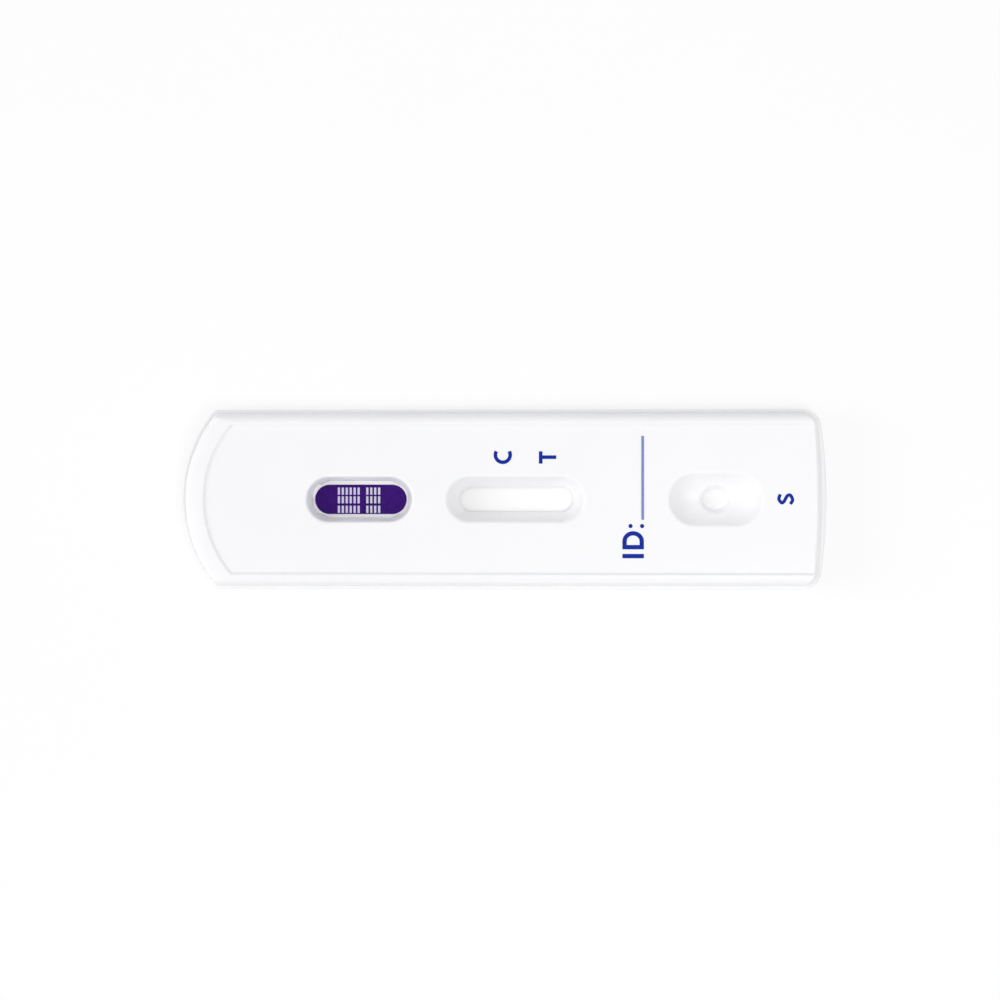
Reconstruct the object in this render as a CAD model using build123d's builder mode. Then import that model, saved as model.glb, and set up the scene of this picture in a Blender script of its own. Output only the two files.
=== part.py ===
from build123d import *
import math
import os

# Lateral flow cassette: an upper and a lower moulding, pinned together round a test strip.
# The origin is the middle of the underside, +X runs from the thumb grip to the sample well
# and +Z is up. Lengths are in millimetres and angles in degrees.

# Body in plan
body_length = 70.0
body_width = 19.5
grip_radius = 15.1
grip_corner_radius = 0.6
end_radius = 56.5
end_corner_radius = 2.1
cavity_corner_radius = 1.0

# Lower moulding in height
body_height = 5.0
parting_height = 2.5
floor_thickness = 1.0
wall_thickness = 1.3
end_wall = 1.6
lower_draft = 3.0
base_bevel = 0.35
joint_bevel = 0.15

# Lap joint between the mouldings
ledge = 0.35
end_ledge = 0.56
lip_thickness = 0.45
lip_height = 0.5
joint_clearance = 0.05

# Upper moulding: drafted sides, round shoulders and a deck sunk inside a low rim
upper_draft = 10.0
deck_end_radius = 100.0
shoulder_radius = 0.8
deck_drop = 0.25
deck_slope = 45.0
deck_side_inset = 1.85
deck_thickness = 1.0
grip_depth = 2.85
grip_drop = 0.3
grip_edge_radius = 0.3
deck_end_edge_radius = 0.25

# Label window, read window and sample well
label_x = -15.4
label_rim_length = 11.5
label_rim_width = 4.95
label_sill_length = 10.0
label_sill_width = 3.2
read_x = 1.5
read_rim_length = 14.8
read_rim_width = 4.9
read_sill_length = 12.3
read_sill_width = 2.65
read_sill_gap = 0.15
window_wall = 0.8
window_rim_radius = 0.3
sill_lip_width = 0.12
sill_lip_rise = 0.06
well_x = 23.05
well_length = 10.0
well_width = 5.7
well_rim_radius = 0.3
dish_wall = 0.55
port_end_gap = 0.75
port_width = 2.2
port_depth = 0.7
port_draft = 22.5
port_edge_radius = 0.2
collar_wall = 0.8

# Test strip
strip_width = 3.9
strip_grip_gap = 7.0
strip_end_gap = 3.0
card_thickness = 0.25
membrane_thickness = 0.2
label_to_membrane = 0.7
read_to_membrane = 3.0
absorbent_thickness = 0.85
tape_thickness = 0.1
conjugate_thickness = 0.4
sample_thickness = 0.7
pad_overlap = 2.0
pad_climb = 0.5
bowl_to_conjugate = 0.3

# Strip bed in the lower moulding
bed_rise = 0.5
bed_rib_thickness = 0.8
bed_rib_count = 9
guide_rise = 1.3
guide_thickness = 0.8
guide_clearance = 0.1
guide_window_gap = 0.4

# Pins under the upper moulding and sockets in the lower one
pin_sides = 6
pin_diameter = 1.8
pin_clearance = 0.03
pin_length = 2.3
pin_tip_chamfer = 0.25
pin_grip_inset = 9.5
pin_end_inset = 4.5
pin_side_inset = 3.2
pin_columns = 3
socket_wall = 0.7
socket_rise = 1.4
socket_floor = 0.2
brace_thickness = 0.8
brace_rise = 0.9

# Ribs under the thumb grip and bars that hold the strip down
grip_rib_count = 3
grip_rib_spacing = 4.0
grip_rib_thickness = 0.8
grip_rib_gap = 0.1
rib_bite = 0.25
bar_thickness = 0.8
end_bar_inset = 2.0

# Places along the body
half_length = body_length / 2
half_width = body_width / 2
grip_centre = grip_radius - half_length
strip_start = -half_length + strip_grip_gap
strip_end = half_length - strip_end_gap
stop_start = strip_start - guide_clearance - guide_thickness
stop_end = strip_end + guide_clearance + guide_thickness
membrane_start = label_x + label_sill_length / 2 + window_wall + label_to_membrane
membrane_end = read_x + read_rim_length / 2 + read_to_membrane
absorbent_end = membrane_start + pad_overlap
conjugate_start = membrane_end - pad_overlap
first_pin_x = -half_length + pin_grip_inset
last_pin_x = half_length - pin_end_inset
pin_pitch = (last_pin_x - first_pin_x) / (pin_columns - 1)

# Places across the body
pin_y = half_width - pin_side_inset
deck_half_width = half_width - deck_side_inset
guide_inner = strip_width / 2 + guide_clearance
guide_outer = guide_inner + guide_thickness

# Heights
deck_height = body_height - deck_drop
ceiling = deck_height - deck_thickness
card_bottom = floor_thickness + bed_rise
card_top = card_bottom + card_thickness
membrane_top = card_top + membrane_thickness
absorbent_top = card_top + absorbent_thickness
label_sill = absorbent_top + tape_thickness
read_sill = membrane_top + read_sill_gap
sample_top = card_top + sample_thickness
dish_bottom = sample_top + port_depth
guide_top = floor_thickness + guide_rise

# Radii that follow from the sizes above
deck_arc = grip_radius - grip_depth
pin_radius = pin_diameter / 2
socket_radius = pin_radius + pin_clearance
boss_radius = socket_radius + socket_wall
dish_depth = deck_height - dish_bottom
dish_radius = ((well_width / 2) ** 2 + dish_depth**2) / (2 * dish_depth)
dish_run = (well_length - well_width) / 2
port_length = 2 * (dish_run - port_end_gap)

# Conjugate pad: its thick overlap under the sample pad stays clear of the bowl's wall
overlap_top = sample_top + conjugate_thickness
wall_reach = math.sqrt((dish_radius + dish_wall) ** 2 - (dish_bottom + dish_radius - overlap_top) ** 2)
conjugate_end = well_x - dish_run - wall_reach - bowl_to_conjugate
sample_start = conjugate_end - pad_overlap

# Both windows: place, height of the sill, and slot sizes at the sill and at the deck
label_window = (
    label_x,
    label_sill,
    label_sill_length,
    label_sill_width,
    label_rim_length,
    label_rim_width,
)
read_window = (
    read_x,
    read_sill,
    read_sill_length,
    read_sill_width,
    read_rim_length,
    read_rim_width,
)


def outline(height, inset, end_inset, end_arc, corner):
    """Plan of the body at a height, drawn in by an inset, with a far end of its own."""
    half = half_width - inset
    grip_arc = grip_radius - inset
    grip_x = grip_centre - math.sqrt(grip_arc**2 - half**2)
    far_x = half_length - end_inset
    end_x = far_x - end_arc + math.sqrt(end_arc**2 - half**2)
    with BuildSketch(Plane.XY.offset(height)) as plan:
        with BuildLine():
            Line((grip_x, half), (end_x, half))
            ThreePointArc((end_x, half), (far_x, 0), (end_x, -half))
            Line((end_x, -half), (grip_x, -half))
            ThreePointArc((grip_x, -half), (grip_centre - grip_arc, 0), (grip_x, half))
        make_face()
        fillet(plan.vertices().group_by(Axis.X)[-1], corner)
        fillet(plan.vertices().group_by(Axis.X)[0], grip_corner_radius)
    return plan.sketch


def body_ring(height, inset):
    """Plan of the lower moulding at a height, drawn in evenly by an inset."""
    return outline(height, inset, inset, end_radius - inset, end_corner_radius - inset)


def cavity(height):
    """Plan of the space inside both mouldings."""
    return outline(height, wall_thickness, end_wall, end_radius - end_wall, cavity_corner_radius)


def lip(height, clearance):
    """Plan of the lip's outer face, let out by a clearance for the rebate that takes it."""
    step = lip_thickness + clearance
    return outline(
        height,
        wall_thickness - step,
        end_wall - step,
        end_radius - end_wall + step,
        cavity_corner_radius + step,
    )


def deck_field(height, spread):
    """Plan of the sunk deck, let out by a spread, from the grip's arc past the far end."""
    half = deck_half_width + spread
    arc = deck_arc + spread
    start = grip_centre - math.sqrt(arc**2 - half**2)
    with BuildSketch(Plane.XY.offset(height)) as plan:
        with BuildLine():
            Polyline((start, half), (body_length, half), (body_length, -half), (start, -half))
            ThreePointArc((start, -half), (grip_centre - arc, 0), (start, half))
        make_face()
    return plan.sketch


def slot(x, height, length, width):
    """Slot with round ends on a level plane."""
    with BuildSketch(Plane((x, 0, height))) as profile:
        SlotOverall(length, width)
    return profile.sketch


def oval(x, height, length, width):
    """Ellipse on a level plane."""
    with BuildSketch(Plane((x, 0, height))) as profile:
        Ellipse(length / 2, width / 2)
    return profile.sketch


def block(x_start, x_end, y_start, y_end, height):
    """Rectangle between two corners on a level plane."""
    with BuildSketch(Plane(((x_start + x_end) / 2, (y_start + y_end) / 2, height))) as profile:
        Rectangle(abs(x_end - x_start), abs(y_end - y_start))
    return profile.sketch


def socket_circles(radius, height):
    """One circle round each pin's place on a level plane."""
    with BuildSketch(Plane(((first_pin_x + last_pin_x) / 2, 0, height))) as profile:
        with GridLocations(pin_pitch, 2 * pin_y, pin_columns, 2):
            Circle(radius)
    return profile.sketch


def pin_polygons(height):
    """Section of the pins on a level plane, with corners that grip in the round sockets."""
    with BuildSketch(Plane(((first_pin_x + last_pin_x) / 2, 0, height))) as profile:
        with GridLocations(pin_pitch, 2 * pin_y, pin_columns, 2):
            RegularPolygon(pin_radius, pin_sides)
    return profile.sketch


def grip_ribs(height, wall_radius):
    """Ribs from the strip's end stop to a radius round the grip's centre."""
    with BuildSketch(Plane.XY.offset(height)) as profile:
        for place in range(grip_rib_count):
            y = (place - (grip_rib_count - 1) / 2) * grip_rib_spacing
            wall_x = grip_centre - math.sqrt(wall_radius**2 - y**2)
            with Locations(((wall_x + stop_start) / 2, y)):
                Rectangle(stop_start - wall_x, grip_rib_thickness)
    return profile.sketch


def funnel(x, sill, sill_length, sill_width, rim_length, rim_width, wall):
    """Slots of a window's funnel at its sill, over the sill's lip and at the deck."""
    lip_spread = 2 * (wall + sill_lip_width)
    return [
        slot(x, sill, sill_length + 2 * wall, sill_width + 2 * wall),
        slot(x, sill + sill_lip_rise, sill_length + lip_spread, sill_width + lip_spread),
        slot(x, deck_height, rim_length + 2 * wall, rim_width + 2 * wall),
    ]


def dish(radius):
    """Bowl under the deck: a circular segment carried along the well and turned at its ends."""
    centre_height = dish_bottom + dish_radius
    lowest = centre_height - radius
    reach = math.sqrt(radius**2 - (centre_height - deck_height) ** 2)
    with BuildPart() as bowl:
        with BuildSketch(Plane.YZ.offset(well_x)):
            with BuildLine():
                Line((-reach, deck_height), (reach, deck_height))
                ThreePointArc((reach, deck_height), (0, lowest), (-reach, deck_height))
            make_face()
        extrude(amount=dish_run, both=True)
        for end_x in (well_x - dish_run, well_x + dish_run):
            with BuildSketch(Plane((end_x, 0, 0), (1, 0, 0), (0, -1, 0))):
                with BuildLine():
                    Polyline((0, lowest), (0, deck_height), (reach, deck_height))
                    RadiusArc((reach, deck_height), (0, lowest), radius)
                make_face()
            revolve(axis=Axis((end_x, 0, 0), (0, 0, 1)))
    return bowl.part


def layer(start, step, end, low, rise, thickness):
    """Side view of a strip layer that lies low, climbs on to its neighbour and runs on."""
    foot = step - math.copysign(pad_climb, step - start)
    with BuildSketch(Plane.XZ) as profile:
        with BuildLine():
            Polyline(
                (start, low),
                (foot, low),
                (step, low + rise),
                (end, low + rise),
                (end, low + rise + thickness),
                (step, low + rise + thickness),
                (foot, low + thickness),
                (start, low + thickness),
                close=True,
            )
        make_face()
    return profile.sketch


# Bowl of the sample well: the cut, and the wall under it
bowl_cut = dish(dish_radius)
bowl_wall = dish(dish_radius + dish_wall)

# Lower moulding
with BuildPart() as bottom_shell:
    # Drafted block, bevelled underneath and at the joint
    widest_height = parting_height - joint_bevel
    base_run = (widest_height - base_bevel) * math.tan(math.radians(lower_draft))
    loft(
        [
            body_ring(0, base_run + base_bevel),
            body_ring(base_bevel, base_run),
            body_ring(widest_height, 0),
            body_ring(parting_height, joint_bevel),
        ],
        ruled=True,
    )

    # Lip that locates the upper moulding, and the cavity inside it
    extrude(lip(parting_height, 0), amount=lip_height)
    extrude(cavity(floor_thickness), amount=parting_height + lip_height, mode=Mode.SUBTRACT)

    # Cross ribs under the card
    rib_pitch = (strip_end - strip_start - bed_rib_thickness) / (bed_rib_count - 1)
    with BuildSketch(Plane(((strip_start + strip_end) / 2, 0, floor_thickness))):
        with GridLocations(rib_pitch, 0, bed_rib_count, 1):
            Rectangle(bed_rib_thickness, 2 * guide_outer)
    extrude(amount=bed_rise)

    # Guides beside the strip, open where the read window reaches down, and end stops
    read_reach = read_rim_length / 2 + window_wall + guide_window_gap
    for side in (-1, 1):
        near = side * guide_inner
        far = side * guide_outer
        extrude(block(stop_start, read_x - read_reach, near, far, floor_thickness), amount=guide_rise)
        extrude(block(read_x + read_reach, stop_end, near, far, floor_thickness), amount=guide_rise)
    for stop in (stop_start, stop_end - guide_thickness):
        plate = block(stop, stop + guide_thickness, -guide_outer, guide_outer, floor_thickness)
        extrude(plate, amount=guide_rise)

    # Ribs from the end stop into the grip's wall
    extrude(grip_ribs(floor_thickness, grip_radius - wall_thickness + rib_bite), amount=guide_rise)

    # Sockets with braces into the side walls
    extrude(socket_circles(boss_radius, floor_thickness), amount=socket_rise)
    brace_end = half_width - wall_thickness + rib_bite
    for column in range(pin_columns):
        brace_x = first_pin_x + column * pin_pitch - brace_thickness / 2
        for side in (-1, 1):
            brace = block(
                brace_x,
                brace_x + brace_thickness,
                side * pin_y,
                side * brace_end,
                floor_thickness,
            )
            extrude(brace, amount=brace_rise)
    extrude(
        socket_circles(socket_radius, floor_thickness + socket_floor),
        amount=socket_rise,
        mode=Mode.SUBTRACT,
    )
bottom_shell.part.label = "bottom_shell"

# Upper moulding
with BuildPart() as top_shell:
    # Drafted block under a section with round shoulders
    side_slope = math.radians(upper_draft)
    draft_run = (body_height - parting_height) * math.tan(side_slope)
    loft(
        [
            outline(parting_height, ledge, end_ledge, deck_end_radius, end_corner_radius - ledge),
            outline(
                body_height,
                ledge + draft_run,
                end_ledge + draft_run,
                deck_end_radius - draft_run,
                end_corner_radius - ledge - draft_run,
            ),
        ],
        ruled=True,
    )
    foot = half_width - ledge
    crest = foot - draft_run
    with BuildSketch(Plane.YZ.offset(-half_length)) as section:
        with BuildLine():
            Polyline(
                (-foot, parting_height),
                (foot, parting_height),
                (crest, body_height),
                (-crest, body_height),
                close=True,
            )
        make_face()
        fillet(section.vertices().group_by(Axis.Y)[-1], shoulder_radius)
    extrude(amount=body_length, mode=Mode.INTERSECT)

    # Thumb grip, rolling down from the rim and turning into the drafted end
    grip_rim = deck_arc + deck_drop / math.tan(math.radians(deck_slope))
    grip_foot = grip_radius - ledge
    grip_edge = (
        grip_foot - (body_height - grip_drop - parting_height) * math.tan(side_slope),
        body_height - grip_drop,
    )
    with BuildSketch(Plane.YZ.offset(grip_centre)) as section:
        with BuildLine():
            TangentArc((grip_rim, body_height), grip_edge, tangent=(1, 0))
            Polyline(
                grip_edge,
                (grip_foot, parting_height),
                (grip_foot, body_height),
                (grip_rim, body_height),
            )
        make_face()
        fillet(section.vertices().sort_by_distance(grip_edge)[0], grip_edge_radius)
    revolve(axis=Axis((grip_centre, 0, 0), (0, 0, 1)), revolution_arc=180, mode=Mode.SUBTRACT)

    # Deck sunk inside the rim on three sides, and its round edge at the far end
    deck_spread = deck_drop / math.tan(math.radians(deck_slope))
    loft(
        [deck_field(deck_height, 0), deck_field(body_height, deck_spread)],
        ruled=True,
        mode=Mode.SUBTRACT,
    )
    end_axis = half_length - end_ledge - deck_end_radius
    end_top = deck_end_radius - (deck_height - parting_height) * math.tan(side_slope)
    end_turn = math.asin(deck_half_width / end_top)
    tangent_run = deck_end_edge_radius * math.tan(math.radians((90 - upper_draft) / 2))
    round_foot = (
        end_top + tangent_run * math.sin(side_slope),
        deck_height - tangent_run * math.cos(side_slope),
    )
    outward = (math.cos(end_turn), -math.sin(end_turn), 0)
    sideways = (-math.sin(end_turn), -math.cos(end_turn), 0)
    with BuildSketch(Plane((end_axis, 0, 0), outward, sideways)):
        with BuildLine():
            TangentArc((end_top - tangent_run, deck_height), round_foot, tangent=(1, 0))
            Polyline(
                round_foot,
                (end_top + body_height, round_foot[1]),
                (end_top + body_height, body_height),
                (end_top - tangent_run, deck_height),
            )
        make_face()
    revolve(
        axis=Axis((end_axis, 0, 0), (0, 0, 1)),
        revolution_arc=2 * math.degrees(end_turn),
        mode=Mode.SUBTRACT,
    )

    # Cavity and the rebate for the lower moulding's lip
    extrude(cavity(parting_height), amount=ceiling - parting_height, mode=Mode.SUBTRACT)
    extrude(
        lip(parting_height, joint_clearance),
        amount=lip_height + joint_clearance,
        mode=Mode.SUBTRACT,
    )

    # Walls of both funnels and of the bowl, and the collar that presses on the sample pad
    loft(funnel(*label_window, window_wall), ruled=True)
    loft(funnel(*read_window, window_wall), ruled=True)
    add(bowl_wall)
    extrude(
        oval(well_x, sample_top, port_length + 2 * collar_wall, port_width + 2 * collar_wall),
        amount=dish_depth,
    )

    # Bars that hold down the wick's tail, both ends of the membrane and the sample pad
    bars = (
        (strip_start + end_bar_inset, label_sill),
        ((membrane_start + absorbent_end) / 2, label_sill + membrane_thickness),
        ((conjugate_start + membrane_end) / 2, membrane_top + conjugate_thickness),
        (strip_end - end_bar_inset, sample_top),
    )
    for bar_x, bar_bottom in bars:
        bar = block(
            bar_x - bar_thickness / 2,
            bar_x + bar_thickness / 2,
            -strip_width / 2,
            strip_width / 2,
            bar_bottom,
        )
        extrude(bar, amount=ceiling - bar_bottom)

    # Pins for the sockets, and ribs under the thumb grip
    extrude(pin_polygons(ceiling), amount=-pin_length)
    pin_tips = top_shell.edges().group_by(Axis.Z)[0]
    chamfer(pin_tips, pin_tip_chamfer)
    rib_bottom = guide_top + grip_rib_gap
    extrude(
        grip_ribs(rib_bottom, grip_radius - wall_thickness - rib_bite),
        amount=ceiling - rib_bottom,
    )

    # Window funnels cut through the deck, round at the rim
    for window in (label_window, read_window):
        loft(funnel(*window, 0), ruled=True, mode=Mode.SUBTRACT)
        fillet(top_shell.edges(Select.LAST).group_by(Axis.Z)[-1], window_rim_radius)

    # Bowl and port of the sample well
    add(bowl_cut, mode=Mode.SUBTRACT)
    fillet(top_shell.edges(Select.LAST).group_by(Axis.Z)[-1], well_rim_radius)
    port_spread = 2 * (deck_height - sample_top) * math.tan(math.radians(port_draft))
    loft(
        [
            oval(well_x, sample_top, port_length, port_width),
            oval(well_x, deck_height, port_length + port_spread, port_width + port_spread),
        ],
        mode=Mode.SUBTRACT,
    )
    fillet(top_shell.edges(Select.LAST).group_by(Axis.Z)[-1], port_edge_radius)
top_shell.part.label = "top_shell"

# Plastic card that carries the strip
with BuildPart() as backing_card:
    extrude(
        block(strip_start, strip_end, -strip_width / 2, strip_width / 2, card_bottom),
        amount=card_thickness,
    )
backing_card.part.label = "backing_card"

# Membrane under the read window
with BuildPart() as membrane:
    extrude(
        block(membrane_start, membrane_end, -strip_width / 2, strip_width / 2, card_top),
        amount=membrane_thickness,
    )
membrane.part.label = "membrane"

# Wick at the grip end, with its far end on the membrane
with BuildPart() as absorbent_pad:
    extrude(
        layer(
            strip_start,
            membrane_start,
            absorbent_end,
            card_top,
            membrane_thickness,
            absorbent_thickness,
        ),
        amount=strip_width / 2,
        both=True,
    )
absorbent_pad.part.label = "absorbent_pad"

# Film over the wick, seen through the label window
with BuildPart() as cover_tape:
    extrude(
        layer(
            strip_start,
            membrane_start,
            absorbent_end,
            absorbent_top,
            membrane_thickness,
            tape_thickness,
        ),
        amount=strip_width / 2,
        both=True,
    )
cover_tape.part.label = "cover_tape"

# Conjugate pad, with its near end on the membrane
with BuildPart() as conjugate_pad:
    extrude(
        layer(
            conjugate_end,
            membrane_end,
            conjugate_start,
            card_top,
            membrane_thickness,
            conjugate_thickness,
        ),
        amount=strip_width / 2,
        both=True,
    )
conjugate_pad.part.label = "conjugate_pad"

# Sample pad under the port, with its near end on the conjugate pad
with BuildPart() as sample_pad:
    extrude(
        layer(
            strip_end,
            conjugate_end,
            sample_start,
            card_top,
            conjugate_thickness,
            sample_thickness,
        ),
        amount=strip_width / 2,
        both=True,
    )
sample_pad.part.label = "sample_pad"

os.makedirs("parts", exist_ok=True)
export_step(bottom_shell.part, "parts/bottom_shell.step")
export_step(top_shell.part, "parts/top_shell.step")
export_step(backing_card.part, "parts/backing_card.step")
export_step(membrane.part, "parts/membrane.step")
export_step(absorbent_pad.part, "parts/absorbent_pad.step")
export_step(cover_tape.part, "parts/cover_tape.step")
export_step(conjugate_pad.part, "parts/conjugate_pad.step")
export_step(sample_pad.part, "parts/sample_pad.step")
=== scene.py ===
import math

import bmesh
import bpy
from mathutils import Matrix, Vector


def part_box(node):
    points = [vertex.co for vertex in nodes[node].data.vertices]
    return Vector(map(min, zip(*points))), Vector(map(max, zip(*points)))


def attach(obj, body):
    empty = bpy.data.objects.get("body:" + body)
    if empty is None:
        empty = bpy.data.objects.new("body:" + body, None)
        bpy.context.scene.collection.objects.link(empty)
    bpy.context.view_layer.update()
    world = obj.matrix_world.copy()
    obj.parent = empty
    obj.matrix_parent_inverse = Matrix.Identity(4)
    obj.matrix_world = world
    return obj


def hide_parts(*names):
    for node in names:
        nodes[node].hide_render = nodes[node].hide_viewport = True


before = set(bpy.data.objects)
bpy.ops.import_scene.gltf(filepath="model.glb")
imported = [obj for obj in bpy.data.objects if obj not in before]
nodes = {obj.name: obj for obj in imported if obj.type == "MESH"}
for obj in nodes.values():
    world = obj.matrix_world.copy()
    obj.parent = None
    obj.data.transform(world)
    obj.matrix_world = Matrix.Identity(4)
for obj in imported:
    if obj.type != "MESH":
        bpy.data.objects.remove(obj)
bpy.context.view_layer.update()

# Lateral flow cassette: materials for the two mouldings and the test strip, the broad sill round
# the film, the ink marks on the deck and the light print on the film. Lengths are in metres.

MM = 0.001

# Heights of the printed faces, and how far print reaches under and over them
deck_z = 4.75 * MM
film_climb = 0.2 * MM
film_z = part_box("cover_tape")[1][2] - film_climb
print_under = 0.004 * MM
print_over = 0.008 * MM

# Sill round the film in the label window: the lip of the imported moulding, and its spread
label_x = -15.4 * MM
label_run = 3.4 * MM
lip_radius = 1.72 * MM
lip_z = 2.76 * MM
sill_spread = 0.24 * MM
sill_rise = 0.05 * MM
same_place = 0.02 * MM

# Letters in millimetres: they read along +Y, with their tops towards the grip
arc_steps = 28
knot_steps = 8
dot_steps = 20
control_stroke = 0.39
control_centre = (0.151, 4.789)
control_radius = 0.798
control_ends = (151, 389)
test_bar = (4.044, 4.434, 3.851, 5.177)
test_stem = (4.434, 5.911, 4.346, 4.736)
sample_stroke = 0.35
sample_knots = (
    (29.95, 0.54),
    (29.80, 0.04),
    (30.10, -0.37),
    (30.37, -0.19),
    (30.53, 0.11),
    (30.74, 0.41),
    (31.05, 0.42),
    (31.26, -0.06),
    (31.03, -0.51),
)
id_stem = (13.03, 15.338, -6.332, -5.868)
id_stroke = 0.465
id_middle = 14.184
id_half_height = 1.154
id_d_start = -5.372
id_d_turn = -4.5
id_d_end = -3.419
colon_places = (13.904, 15.144)
colon_y = -2.869
colon_radius = 0.225
writing_line = (15.06, 15.36, -2.19, 6.828)

# Light bars on the film in millimetres: rows across it, and groups with a number of bars
bar_rows = ((0.50, 1.28), (-0.43, 0.33), (-1.47, -0.69))
bar_groups = ((-17.92, 6), (-14.82, 4))
bar_pitch = 0.43
bar_width = 0.24

# Camera, floor and light
camera_place = (0.019, 0.0, 0.349)
camera_target = (-0.15 * MM, -0.07 * MM, deck_z)
camera_lens = 115.2
camera_sensor = 36.0
floor_half = 1.5
floor_z = -0.03 * MM
floor_white = 0.72
world_strength = 0.735
lamps = (
    ("grip_side", (-0.65, 0.0, 0.42), 0.45, 1.8),
    ("near_side", (0.0, -0.6, 0.45), 0.45, 0.2),
    ("overhead", (0.11, -0.10, 0.38), 0.15, 0.46),
)


# Node helpers

def new_material(name):
    """A material with a clean node tree, its shader and its output."""
    material = bpy.data.materials.new(name)
    material.use_nodes = True
    tree = material.node_tree
    tree.nodes.clear()
    output = tree.nodes.new("ShaderNodeOutputMaterial")
    shader = tree.nodes.new("ShaderNodeBsdfPrincipled")
    tree.links.new(shader.outputs["BSDF"], output.inputs["Surface"])
    return material, tree, shader, output


def place_texture(tree, stretch=(1, 1, 1)):
    """Object coordinates in metres, stretched along an axis where the grain runs that way."""
    coordinates = tree.nodes.new("ShaderNodeTexCoord")
    mapping = tree.nodes.new("ShaderNodeMapping")
    mapping.inputs["Scale"].default_value = stretch
    tree.links.new(coordinates.outputs["Object"], mapping.inputs["Vector"])
    return mapping.outputs["Vector"]


def noise(tree, vector, size, detail=2.0, roughness=0.5, distortion=0.0):
    """Noise whose features are about the given size in metres."""
    texture = tree.nodes.new("ShaderNodeTexNoise")
    texture.inputs["Scale"].default_value = 1 / size
    texture.inputs["Detail"].default_value = detail
    texture.inputs["Roughness"].default_value = roughness
    texture.inputs["Distortion"].default_value = distortion
    tree.links.new(vector, texture.inputs["Vector"])
    return texture.outputs["Fac"]


def spread(tree, value, low, high, start=0.3, end=0.7):
    """A noise value carried on to a range of numbers."""
    mapped = tree.nodes.new("ShaderNodeMapRange")
    mapped.inputs["From Min"].default_value = start
    mapped.inputs["From Max"].default_value = end
    mapped.inputs["To Min"].default_value = low
    mapped.inputs["To Max"].default_value = high
    tree.links.new(value, mapped.inputs["Value"])
    return mapped.outputs["Result"]


def tint(tree, value, low, high, start=0.35, end=0.65):
    """A colour between two, by a noise value."""
    ramp = tree.nodes.new("ShaderNodeValToRGB")
    ramp.color_ramp.elements[0].position = start
    ramp.color_ramp.elements[0].color = (*low, 1)
    ramp.color_ramp.elements[1].position = end
    ramp.color_ramp.elements[1].color = (*high, 1)
    tree.links.new(value, ramp.inputs["Fac"])
    return ramp.outputs["Color"]


def bump(tree, value, depth, base=None):
    """A bump of the given depth in metres, on top of another where one is given."""
    node = tree.nodes.new("ShaderNodeBump")
    node.inputs["Strength"].default_value = 1.0
    node.inputs["Distance"].default_value = depth
    tree.links.new(value, node.inputs["Height"])
    if base is not None:
        tree.links.new(base, node.inputs["Normal"])
    return node.outputs["Normal"]


def greatest(tree, first, second):
    """The greater of two values."""
    node = tree.nodes.new("ShaderNodeMath")
    node.operation = "MAXIMUM"
    tree.links.new(first, node.inputs[0])
    tree.links.new(second, node.inputs[1])
    return node.outputs["Value"]


def seen_ray(tree):
    """One for a ray that ends in the picture, straight or by a reflection or through a piece."""
    path = tree.nodes.new("ShaderNodeLightPath")
    direct = greatest(tree, path.outputs["Is Camera Ray"], path.outputs["Is Glossy Ray"])
    return greatest(tree, direct, path.outputs["Is Transmission Ray"])


# Materials

def moulded_plastic(name, low, high):
    """White polystyrene with the fine satin of a spark-finished mould."""
    material, tree, shader, _ = new_material(name)
    place = place_texture(tree)
    cloud = noise(tree, place, 6.0 * MM, detail=3.0)
    grain = noise(tree, place, 0.09 * MM, detail=3.0, roughness=0.6)
    flow = noise(tree, place_texture(tree, (0.35, 1, 1)), 2.4 * MM, detail=2.0)
    tree.links.new(tint(tree, cloud, low, high), shader.inputs["Base Color"])
    tree.links.new(spread(tree, grain, 0.34, 0.44), shader.inputs["Roughness"])
    wave = bump(tree, flow, 0.008 * MM)
    tree.links.new(bump(tree, grain, 0.0022 * MM, wave), shader.inputs["Normal"])
    shader.inputs["IOR"].default_value = 1.5
    shader.inputs["Subsurface Weight"].default_value = 0.3
    shader.inputs["Subsurface Radius"].default_value = (1, 1, 1)
    shader.inputs["Subsurface Scale"].default_value = 0.35 * MM
    return material


def fibre(name, low, high, size, depth, stretch, rough):
    """Matt fibre: long strands across a finer grain."""
    material, tree, shader, _ = new_material(name)
    along = place_texture(tree, stretch)
    strands = noise(tree, along, size, detail=6.0, roughness=0.7, distortion=0.6)
    grain = noise(tree, place_texture(tree), size / 3, detail=3.0, roughness=0.6)
    tree.links.new(tint(tree, strands, low, high), shader.inputs["Base Color"])
    tree.links.new(spread(tree, grain, rough, rough + 0.1), shader.inputs["Roughness"])
    soft = bump(tree, strands, depth)
    tree.links.new(bump(tree, grain, depth / 3, soft), shader.inputs["Normal"])
    shader.inputs["Specular IOR Level"].default_value = 0.2
    return material


def printed_film(name, low, high):
    """Purple film with a satin face and a slight ripple from the fibre under it."""
    material, tree, shader, _ = new_material(name)
    place = place_texture(tree)
    ink = noise(tree, place, 0.5 * MM, detail=4.0, roughness=0.6)
    ripple = noise(tree, place, 0.9 * MM, detail=2.0)
    grain = noise(tree, place, 0.05 * MM, detail=2.0)
    tree.links.new(tint(tree, ink, low, high), shader.inputs["Base Color"])
    tree.links.new(spread(tree, grain, 0.4, 0.52), shader.inputs["Roughness"])
    soft = bump(tree, ripple, 0.01 * MM)
    tree.links.new(bump(tree, grain, 0.001 * MM, soft), shader.inputs["Normal"])
    shader.inputs["Specular IOR Level"].default_value = 0.08
    return material


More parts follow.
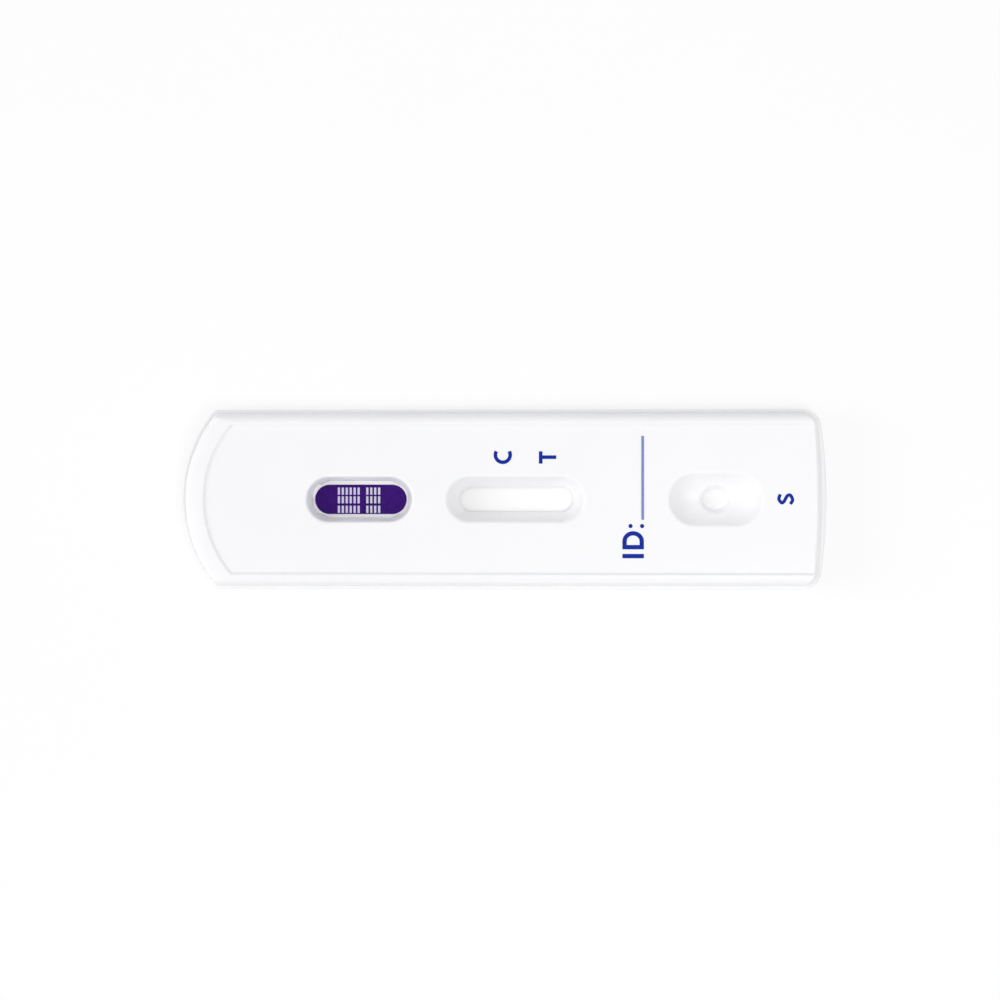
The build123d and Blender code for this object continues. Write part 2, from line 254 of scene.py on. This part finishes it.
def ink_material(name, low, high, rough):
    """Printed ink, a little uneven in its cover."""
    material, tree, shader, _ = new_material(name)
    place = place_texture(tree)
    cover = noise(tree, place, 0.12 * MM, detail=4.0, roughness=0.65)
    tree.links.new(tint(tree, cover, low, high), shader.inputs["Base Color"])
    tree.links.new(spread(tree, cover, rough, rough + 0.12), shader.inputs["Roughness"])
    tree.links.new(bump(tree, cover, 0.0015 * MM), shader.inputs["Normal"])
    shader.inputs["Specular IOR Level"].default_value = 0.12
    return material


def floor_material(name, low, high):
    """Pale floor that keeps the shadow and otherwise reads white."""
    material, tree, shader, output = new_material(name)
    cloud = noise(tree, place_texture(tree), 40.0 * MM, detail=2.0)
    tree.links.new(tint(tree, cloud, low, high), shader.inputs["Base Color"])
    shader.inputs["Roughness"].default_value = 0.9
    shader.inputs["Specular IOR Level"].default_value = 0.1
    white = tree.nodes.new("ShaderNodeEmission")
    share = tree.nodes.new("ShaderNodeMath")
    share.operation = "MULTIPLY"
    share.inputs[1].default_value = floor_white
    blend = tree.nodes.new("ShaderNodeMixShader")
    tree.links.new(seen_ray(tree), share.inputs[0])
    tree.links.new(share.outputs["Value"], blend.inputs["Fac"])
    tree.links.new(shader.outputs["BSDF"], blend.inputs[1])
    tree.links.new(white.outputs["Emission"], blend.inputs[2])
    tree.links.new(blend.outputs["Shader"], output.inputs["Surface"])
    return material


node_materials = {
    "top_shell": moulded_plastic(
        "upper_plastic",
        low=(0.935, 0.935, 0.956),
        high=(0.948, 0.948, 0.967),
    ),
    "bottom_shell": moulded_plastic(
        "lower_plastic",
        low=(0.925, 0.925, 0.947),
        high=(0.938, 0.938, 0.957),
    ),
    "backing_card": fibre(
        "card_plastic",
        low=(0.88, 0.88, 0.87),
        high=(0.91, 0.91, 0.9),
        size=0.4 * MM,
        depth=0.002 * MM,
        stretch=(1, 1, 1),
        rough=0.5,
    ),
    "membrane": fibre(
        "nitrocellulose",
        low=(0.93, 0.93, 0.925),
        high=(0.955, 0.955, 0.95),
        size=0.08 * MM,
        depth=0.002 * MM,
        stretch=(1, 1, 1),
        rough=0.8,
    ),
    "absorbent_pad": fibre(
        "absorbent_fibre",
        low=(0.86, 0.86, 0.84),
        high=(0.93, 0.93, 0.91),
        size=0.2 * MM,
        depth=0.02 * MM,
        stretch=(0.4, 1, 1),
        rough=0.85,
    ),
    "conjugate_pad": fibre(
        "conjugate_fibre",
        low=(0.84, 0.79, 0.79),
        high=(0.9, 0.86, 0.86),
        size=0.15 * MM,
        depth=0.015 * MM,
        stretch=(0.3, 1, 1),
        rough=0.85,
    ),
    "sample_pad": fibre(
        "sample_fibre",
        low=(0.92, 0.92, 0.92),
        high=(0.96, 0.96, 0.96),
        size=0.12 * MM,
        depth=0.02 * MM,
        stretch=(0.4, 1, 1),
        rough=0.85,
    ),
    "cover_tape": printed_film(
        "purple_film",
        low=(0.030, 0.003, 0.125),
        high=(0.042, 0.005, 0.165),
    ),
}
for node_name, node_material in node_materials.items():
    slots = nodes[node_name].data.materials
    if len(slots) == 0:
        slots.append(node_material)
    for index in range(len(slots)):
        slots[index] = node_material

blue_ink = ink_material("blue_ink", low=(0.001, 0.018, 0.29), high=(0.002, 0.026, 0.35), rough=0.38)
pale_ink = ink_material("pale_ink", low=(0.16, 0.21, 0.5), high=(0.3, 0.35, 0.6), rough=0.4)
light_print = ink_material("light_print", low=(0.52, 0.49, 0.66), high=(0.68, 0.66, 0.8), rough=0.45)


# Mesh helpers

def new_piece(name, data):
    """An object for a mesh, in the scene."""
    piece = bpy.data.objects.new(name, data)
    bpy.context.scene.collection.objects.link(piece)
    return piece


def print_piece(name, mesh, material):
    """A printed piece from its closed mesh, riding on the cassette."""
    bmesh.ops.recalc_face_normals(mesh, faces=mesh.faces)
    data = bpy.data.meshes.new(name)
    mesh.to_mesh(data)
    mesh.free()
    data.materials.append(material)
    piece = new_piece(name, data)
    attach(piece, "root")


def print_plates(name, outlines, face_z, material):
    """Printed plates from their outlines in millimetres, over a face at a height."""
    mesh = bmesh.new()
    for points in outlines:
        count = len(points)
        bottom = [mesh.verts.new((x * MM, y * MM, face_z - print_under)) for x, y in points]
        top = [mesh.verts.new((x * MM, y * MM, face_z + print_over)) for x, y in points]
        mesh.faces.new(top)
        mesh.faces.new(list(reversed(bottom)))
        for index in range(count):
            following = (index + 1) % count
            mesh.faces.new((bottom[index], bottom[following], top[following], top[index]))
    print_piece(name, mesh, material)


def print_band(name, outer, inner, face_z, material):
    """A printed band between two closed lines of as many points, in millimetres."""
    low = face_z - print_under
    high = face_z + print_over
    mesh = bmesh.new()
    count = len(outer)
    corners = []
    for (outer_x, outer_y), (inner_x, inner_y) in zip(outer, inner):
        corners.append(
            [
                mesh.verts.new((outer_x * MM, outer_y * MM, low)),
                mesh.verts.new((outer_x * MM, outer_y * MM, high)),
                mesh.verts.new((inner_x * MM, inner_y * MM, high)),
                mesh.verts.new((inner_x * MM, inner_y * MM, low)),
            ]
        )
    for index in range(count):
        here = corners[index]
        there = corners[(index + 1) % count]
        for side in range(4):
            other = (side + 1) % 4
            mesh.faces.new((here[side], there[side], there[other], here[other]))
    print_piece(name, mesh, material)


# Outlines of the marks

def bar(x_start, x_end, y_start, y_end):
    """Outline of an upright rectangle."""
    return [(x_start, y_start), (x_end, y_start), (x_end, y_end), (x_start, y_end)]


def arc(centre, radius, start, end, steps):
    """Points on an arc between two angles in degrees."""
    points = []
    for step in range(steps + 1):
        angle = math.radians(start + (end - start) * step / steps)
        points.append((centre[0] + radius * math.cos(angle), centre[1] + radius * math.sin(angle)))
    return points


def smooth_line(knots):
    """Smooth line through a few knots."""
    points = []
    last = len(knots) - 1
    for index in range(last):
        p0 = Vector(knots[max(index - 1, 0)])
        p1 = Vector(knots[index])
        p2 = Vector(knots[index + 1])
        p3 = Vector(knots[min(index + 2, last)])
        for step in range(knot_steps):
            t = step / knot_steps
            point = 0.5 * (
                2 * p1
                + (p2 - p0) * t
                + (2 * p0 - 5 * p1 + 4 * p2 - p3) * t * t
                + (3 * p1 - p0 - 3 * p2 + p3) * t * t * t
            )
            points.append((point.x, point.y))
    points.append(knots[last])
    return points


def stroke(points, width):
    """Outline of a pen stroke along a centreline, with flat ends."""
    left = []
    right = []
    last = len(points) - 1
    for index, point in enumerate(points):
        before = Vector(points[max(index - 1, 0)])
        after = Vector(points[min(index + 1, last)])
        along = (after - before).normalized()
        side = Vector((-along.y, along.x)) * (width / 2)
        left.append((point[0] + side.x, point[1] + side.y))
        right.append((point[0] - side.x, point[1] - side.y))
    return right + list(reversed(left))


def letter_d(inset):
    """Line round the D, drawn in by an inset."""
    half = id_half_height - inset
    reach = id_d_end - inset - id_d_turn
    points = [(id_middle + half, id_d_start + inset), (id_middle + half, id_d_turn)]
    for step in range(1, arc_steps):
        angle = math.pi * step / arc_steps
        points.append((id_middle + half * math.cos(angle), id_d_turn + reach * math.sin(angle)))
    points.append((id_middle - half, id_d_turn))
    points.append((id_middle - half, id_d_start + inset))
    return points


# Upper moulding with its broad sill

def upper_moulding():
    """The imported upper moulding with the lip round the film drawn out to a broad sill."""
    data = nodes["top_shell"].data.copy()
    data.name = "upper_moulding"
    for vertex in data.vertices:
        x, y, z = vertex.co
        nearest = min(max(x, label_x - label_run), label_x + label_run)
        out = Vector((x - nearest, y))
        if abs(z - lip_z) < same_place and abs(out.length - lip_radius) < same_place:
            out = out.normalized() * sill_spread
            vertex.co = (x + out.x, y + out.y, z + sill_rise)
    piece = new_piece("upper_moulding", data)
    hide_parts("top_shell")
    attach(piece, "root")


upper_moulding()


# Printed marks

control_line = arc(control_centre, control_radius, *control_ends, arc_steps)
colon_dots = [arc((x, colon_y), colon_radius, 0, 360, dot_steps)[:-1] for x in colon_places]
print_plates("mark_control", [stroke(control_line, control_stroke)], deck_z, blue_ink)
print_plates("mark_test", [bar(*test_bar), bar(*test_stem)], deck_z, blue_ink)
print_plates("mark_sample", [stroke(smooth_line(sample_knots), sample_stroke)], deck_z, blue_ink)
print_plates("mark_id", [bar(*id_stem)] + colon_dots, deck_z, blue_ink)
print_band("mark_id_d", letter_d(0), letter_d(id_stroke), deck_z, blue_ink)
print_plates("writing_line", [bar(*writing_line)], deck_z, pale_ink)

film_bars = []
for low_y, high_y in bar_rows:
    for group_x, bar_count in bar_groups:
        for place in range(bar_count):
            start_x = group_x + place * bar_pitch
            film_bars.append(bar(start_x, start_x + bar_width, low_y, high_y))
print_plates("film_print", film_bars, film_z, light_print)


# Floor, light and camera

def plain_floor():
    """Floor just under the cassette."""
    data = bpy.data.meshes.new("floor")
    corners = [(x, y, floor_z) for x, y in bar(-floor_half, floor_half, -floor_half, floor_half)]
    data.from_pydata(corners, [], [(0, 1, 2, 3)])
    data.materials.append(
        floor_material("pale_floor", low=(0.97, 0.97, 0.97), high=(0.98, 0.98, 0.98))
    )
    new_piece("floor", data)


def white_world():
    """World that reads white to the camera and lights the object at a lower strength."""
    world = bpy.data.worlds.new("studio")
    bpy.context.scene.world = world
    world.use_nodes = True
    tree = world.node_tree
    tree.nodes.clear()
    output = tree.nodes.new("ShaderNodeOutputWorld")
    background = tree.nodes.new("ShaderNodeBackground")
    strength = tree.nodes.new("ShaderNodeMapRange")
    strength.inputs["To Min"].default_value = world_strength
    strength.inputs["To Max"].default_value = 1.0
    tree.links.new(seen_ray(tree), strength.inputs["Value"])
    tree.links.new(strength.outputs["Result"], background.inputs["Strength"])
    tree.links.new(background.outputs["Background"], output.inputs["Surface"])


def aim(thing, target):
    """Turn a camera or lamp to a target, with its right side along +X as near as may be."""
    back = (thing.location - Vector(target)).normalized()
    right = Vector((1, 0, 0)) - back * back.x
    right.normalize()
    up = back.cross(right)
    thing.rotation_euler = Matrix((right, up, back)).transposed().to_euler()


def soft_lamp(name, place, size, power):
    """Square lamp aimed at the object."""
    data = bpy.data.lights.new(name, "AREA")
    data.shape = "SQUARE"
    data.size = size
    data.energy = power
    lamp = new_piece(name, data)
    lamp.location = place
    aim(lamp, (0, 0, 0))


plain_floor()
white_world()
for lamp_row in lamps:
    soft_lamp(*lamp_row)

camera_data = bpy.data.cameras.new("camera")
camera_data.lens = camera_lens
camera_data.sensor_width = camera_sensor
camera = new_piece("camera", camera_data)
camera.location = camera_place
aim(camera, camera_target)
bpy.context.scene.camera = camera
bpy.context.scene.view_settings.view_transform = "Standard"
